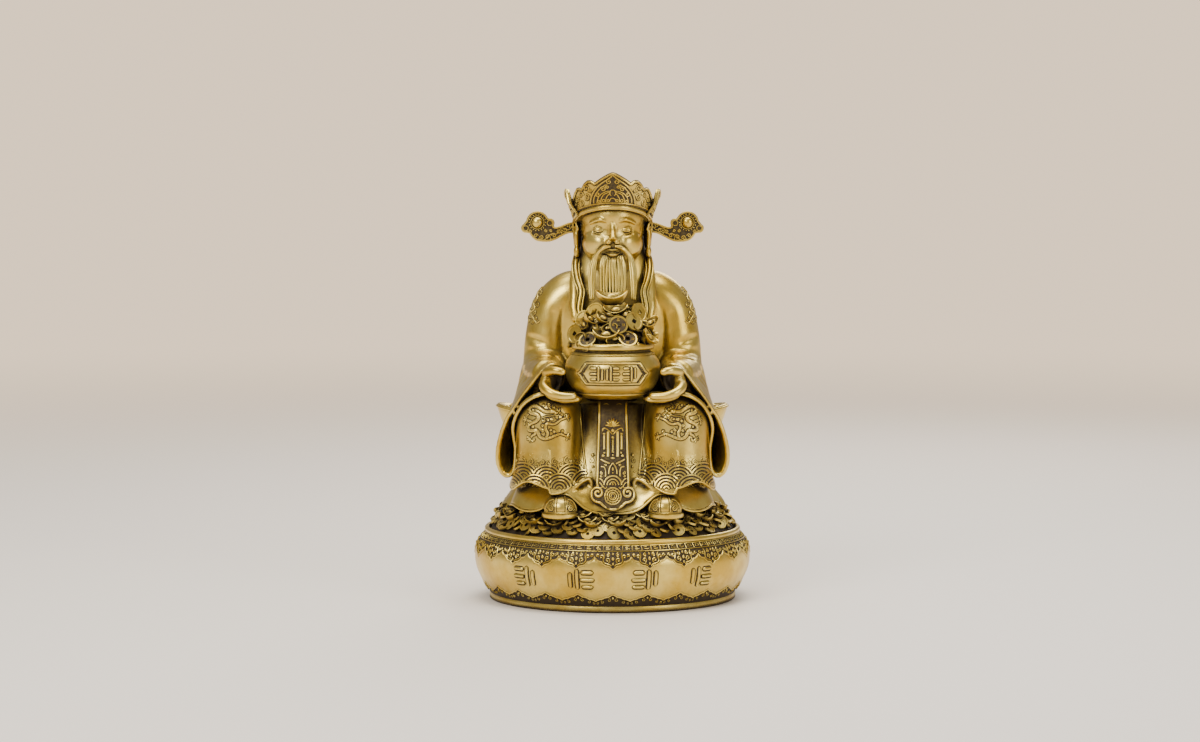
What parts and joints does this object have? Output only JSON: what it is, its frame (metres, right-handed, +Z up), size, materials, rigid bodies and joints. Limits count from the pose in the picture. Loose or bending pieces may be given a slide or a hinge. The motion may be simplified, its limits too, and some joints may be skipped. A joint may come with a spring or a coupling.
{
  "type": "wealth god statue",
  "caption": "Cast brass statue of a seated, bearded wealth god in court robes and winged hat, holding a treasure pot, on a round bulging drum plinth.",
  "frame": {"origin": "centre of the plinth's underside", "axes": "+Z up; the figure faces -Y; +X is the figure's left, on the right of the picture"},
  "size_m": [0.2364, 0.2364, 0.36],
  "materials": {
    "antique_brass": "polished and lacquered brass with a dark brown patina left in the recesses"
  },
  "bodies": {
    "root": {"figure": "antique_brass", "plinth": "antique_brass"}
  },
  "joints": []
}
